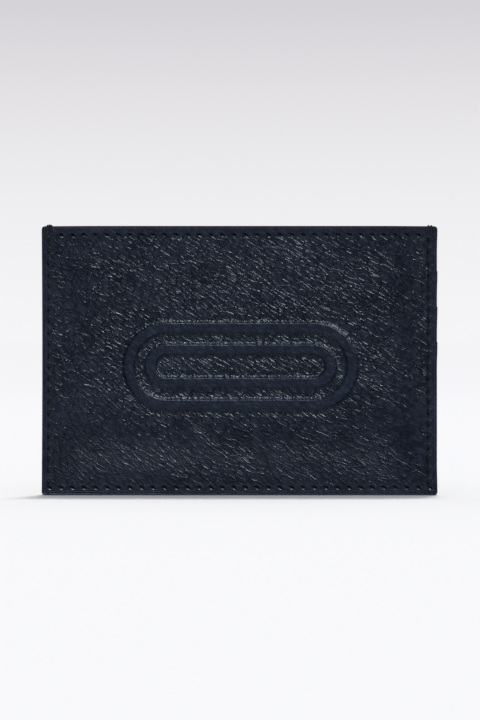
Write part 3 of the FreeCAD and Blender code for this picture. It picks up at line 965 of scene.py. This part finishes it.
def make_stitching():
    """Every stitch of the seam round three sides and of the two mouth rows, on both faces."""
    seam = row_stitches(LEFT_ROW) + row_stitches(BASE_ROW) + row_stitches(RIGHT_ROW)
    mouth = row_stitches(MOUTH_ROW)
    rows = {
        "needle_thread": ("seam_needle_thread", seam, FRONT),
        "bobbin_thread": ("seam_bobbin_thread", seam, BACK),
        "front_mouth_thread": ("front_mouth_stitching", mouth, FRONT),
        "back_mouth_thread": ("back_mouth_stitching", mouth, BACK),
    }
    for name, (node, stitches, side) in rows.items():
        paths = []
        for start, end in stitches:
            face = front_level if side == FRONT else over_mouths(*sorted((start[1], end[1])))
            paths.append(stitch_path(start, end, face, side))
        points, faces = stitch_threads(paths)
        make_piece(name, points, faces, node, THREAD)


WRAPS = {
    # strands as sideways shift and rise over the top edge
    -1: ((-0.50 * MM, 0.16 * MM), (-0.02 * MM, 0.30 * MM), (0.46 * MM, 0.22 * MM)),
    1: ((-0.30 * MM, 0.13 * MM), (0.42 * MM, 0.10 * MM)),
}


def make_wraps():
    """The seam thread carried over the top edge at each side, as strands lying side by side."""
    front, back = front_at_edge(), back_at_edge(TOP)
    round_off, lift, leg, tuck = 0.35 * MM, 0.08 * MM, 1.9 * MM, 0.3 * MM
    for name, side in (("left", -1), ("right", 1)):
        paths = []
        for strand, (shift, rise) in enumerate(WRAPS[side]):
            x = side * SEAM_X + shift
            down = TOP - leg - 0.1 * MM * strand
            path = [(x, front + tuck, down - 0.25 * MM), (x, front - 0.02 * MM, down)]
            path += [(x, front - lift, z) for z in np.linspace(down, TOP - round_off, 7)[1:]]
            for angle in np.linspace(0, math.pi / 2, 6)[1:]:
                y = front - lift + round_off * (1 - math.cos(angle))
                path.append((x, y, TOP - round_off + (round_off + rise) * math.sin(angle)))
            over = np.linspace(front + 0.5 * MM, back - 0.5 * MM, 7)
            path += [(x, y, TOP + rise - 0.05 * MM * math.sin(math.pi * k / 6)) for k, y in enumerate(over)]
            for angle in np.linspace(math.pi / 2, 0, 6)[:-1]:
                y = back + lift - round_off * (1 - math.cos(angle))
                path.append((x, y, TOP - round_off + (round_off + rise) * math.sin(angle)))
            path += [(x, back + lift, z) for z in np.linspace(TOP - round_off, down, 7)]
            path += [(x, back - tuck, down - 0.25 * MM)]
            paths.append(path)
        points, faces = wrap_threads(paths)
        make_piece(f"{name}_wrap", points, faces, f"{name}_mouth_wrap", THREAD)


def dress_cad_nodes():
    """Materials for the CAD nodes that stay: the boards and the hidden rows of stitching."""
    finishes = {
        "front_reinforcement": BOARD,
        "back_reinforcement": BOARD,
        "slot_1_base_stitching": THREAD,
        "slot_2_base_stitching": THREAD,
    }
    for node, material in finishes.items():
        HOLDER.objects.link(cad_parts[node])
        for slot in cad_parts[node].material_slots:
            slot.material = material


# ---------------------------------------------------------------- studio


AMBIENT = 0.69    # light that the dome gives the floor, as a share of white paper's brightness
OVERHEAD = 0.95   # light that the overhead lamp gives it, the same way
PAPER = 0.50

BACKDROP_TONES = (
    # height in metres, and the brightness of the paper there
    (0.0, (0.925, 0.930, 0.940)),
    (0.02, (0.920, 0.922, 0.935)),
    (0.093, (0.900, 0.900, 0.915)),
    (0.19, (0.860, 0.858, 0.876)),
    (0.29, (0.795, 0.782, 0.808)),
    (0.36, (0.732, 0.718, 0.742)),
    (0.43, (0.665, 0.650, 0.685)),
    (0.90, (0.640, 0.630, 0.660)),
    (3.2, (0.78, 0.78, 0.79)),
)


def backdrop_material():
    """Pale paper: it takes soft shadows on the floor and glows by itself higher up."""
    nodes = Nodes("pale_paper")
    tree = nodes.tree
    tree.nodes.remove(nodes.shader)
    tallest = BACKDROP_TONES[-1][0]
    height = nodes.add("SeparateXYZ", {"Vector": nodes.add("NewGeometry").outputs["Position"]}).outputs["Z"]
    ramp = nodes.add("ValToRGB", {"Fac": nodes.span(height, 0.0, tallest, 0.0, 1.0)})
    stops = ramp.color_ramp.elements
    while len(stops) < len(BACKDROP_TONES):
        stops.new(0.5)
    for stop, (place, tone) in zip(stops, BACKDROP_TONES):
        stop.position, stop.color = place / tallest, (*tone, 1)
    paper = nodes.span(height, 0.0, 0.06, PAPER, 0.0)
    lit = nodes.math("MULTIPLY", paper, AMBIENT + OVERHEAD)
    glow = nodes.add("VectorMath", {0: ramp.outputs["Color"], 1: lit}, operation="SUBTRACT").outputs[0]
    emission = nodes.add("Emission", {"Color": glow, "Strength": 1.0})
    diffuse = nodes.add("BsdfDiffuse", {"Color": paper})
    both = nodes.add("AddShader", {0: emission.outputs[0], 1: diffuse.outputs[0]})
    tree.links.new(both.outputs[0], tree.nodes["Material Output"].inputs["Surface"])
    return nodes.material


def make_backdrop():
    """A round floor that sweeps up into a dome, so that every view has the same plain ground."""
    radius, cove, height = 2.6, 1.2, 3.2
    profile = [(r, 0.0) for r in (0.0, 0.05, 0.1, 0.2, 0.4, 0.8, radius - cove)]
    for angle in np.linspace(0, math.pi / 2, 13)[1:]:
        profile.append((radius - cove + cove * math.sin(angle), cove * (1 - math.cos(angle))))
    profile.append((radius, 2.0))
    for angle in np.linspace(0, math.pi / 2, 13)[1:]:
        profile.append((radius * math.cos(angle), 2.0 + (height - 2.0) * math.sin(angle)))
    around = 64
    points, faces = [], []
    for r, z in profile:
        for step in range(around):
            angle = 2 * math.pi * step / around
            points.append((r * math.cos(angle), r * math.sin(angle), z))
    for ring in range(len(profile) - 1):
        for step in range(around):
            a, b = ring * around + step, ring * around + (step + 1) % around
            faces.append([a, b, b + around, a + around][::-1])
    mesh = bpy.data.meshes.new("backdrop")
    mesh.from_pydata(points, [], faces)
    mesh.shade_smooth()
    mesh.materials.append(backdrop_material())
    backdrop = bpy.data.objects.new("backdrop", mesh)
    STUDIO.objects.link(backdrop)
    backdrop.visible_glossy = False
    backdrop.visible_shadow = False


def soft_light(name, place, size, power, colour=(1.0, 1.0, 1.0)):
    """A soft box aimed at the middle of the holder; it lights the holder, not the backdrop."""
    light = bpy.data.lights.new(name, "AREA")
    light.shape = "RECTANGLE"
    light.size, light.size_y = size
    light.energy = power
    light.color = colour
    lamp = bpy.data.objects.new(name, light)
    lamp.location = place
    lamp.rotation_euler = (Vector((0, 0, TOP / 2)) - Vector(place)).to_track_quat("-Z", "Y").to_euler()
    lamp.visible_camera = False
    lamp.light_linking.receiver_collection = HOLDER
    lamp.light_linking.blocker_collection = HOLDER
    bpy.context.scene.collection.objects.link(lamp)


def make_lights():
    """A low key light at the front left and its like for the back, weak fills, and a lamp for the floor."""
    soft_light("key", (-0.69, -1.10, -1.44), (0.80, 0.42), 39.0, (0.80, 0.90, 1.0))
    soft_light("top_fill", (0.3, -0.3, 1.7), (1.3, 1.3), 4.0, (0.90, 0.95, 1.0))
    soft_light("front_fill", (0.7, -0.9, 0.9), (0.6, 0.6), 0.8, (0.90, 0.95, 1.0))
    soft_light("back_key", (1.24, 1.12, 1.00), (0.90, 0.60), 34.0, (0.80, 0.90, 1.0))
    soft_light("back_fill", (-0.8, 0.9, 0.3), (0.6, 0.6), 0.8)
    overhead = bpy.data.lights.new("overhead", "SUN")
    overhead.energy = math.pi * OVERHEAD / math.sin(math.radians(76))
    overhead.angle = math.radians(9)
    lamp = bpy.data.objects.new("overhead", overhead)
    lamp.rotation_euler = (math.radians(-14), math.radians(3), 0)
    lamp.light_linking.receiver_collection = STUDIO
    bpy.context.scene.collection.objects.link(lamp)


def make_camera():
    """A level camera straight in front, framing the holder as a small object on a plain ground."""
    camera = bpy.data.objects.new("camera", bpy.data.cameras.new("camera"))
    camera.data.lens = 135
    camera.data.sensor_width = 36
    distance = 702 * MM
    camera.location = (0.10 * MM, front_at_edge() - distance, 35.2 * MM)
    camera.rotation_euler = (math.radians(90), 0, 0)
    bpy.context.scene.collection.objects.link(camera)
    bpy.context.scene.camera = camera
    bpy.context.scene.view_settings.view_transform = "Standard"


make_camera()
make_backdrop()
make_lights()
make_front()
make_back()
make_linings()
make_facings()
make_rim_paint()
make_mouth_paint()
make_stitching()
make_wraps()
dress_cad_nodes()
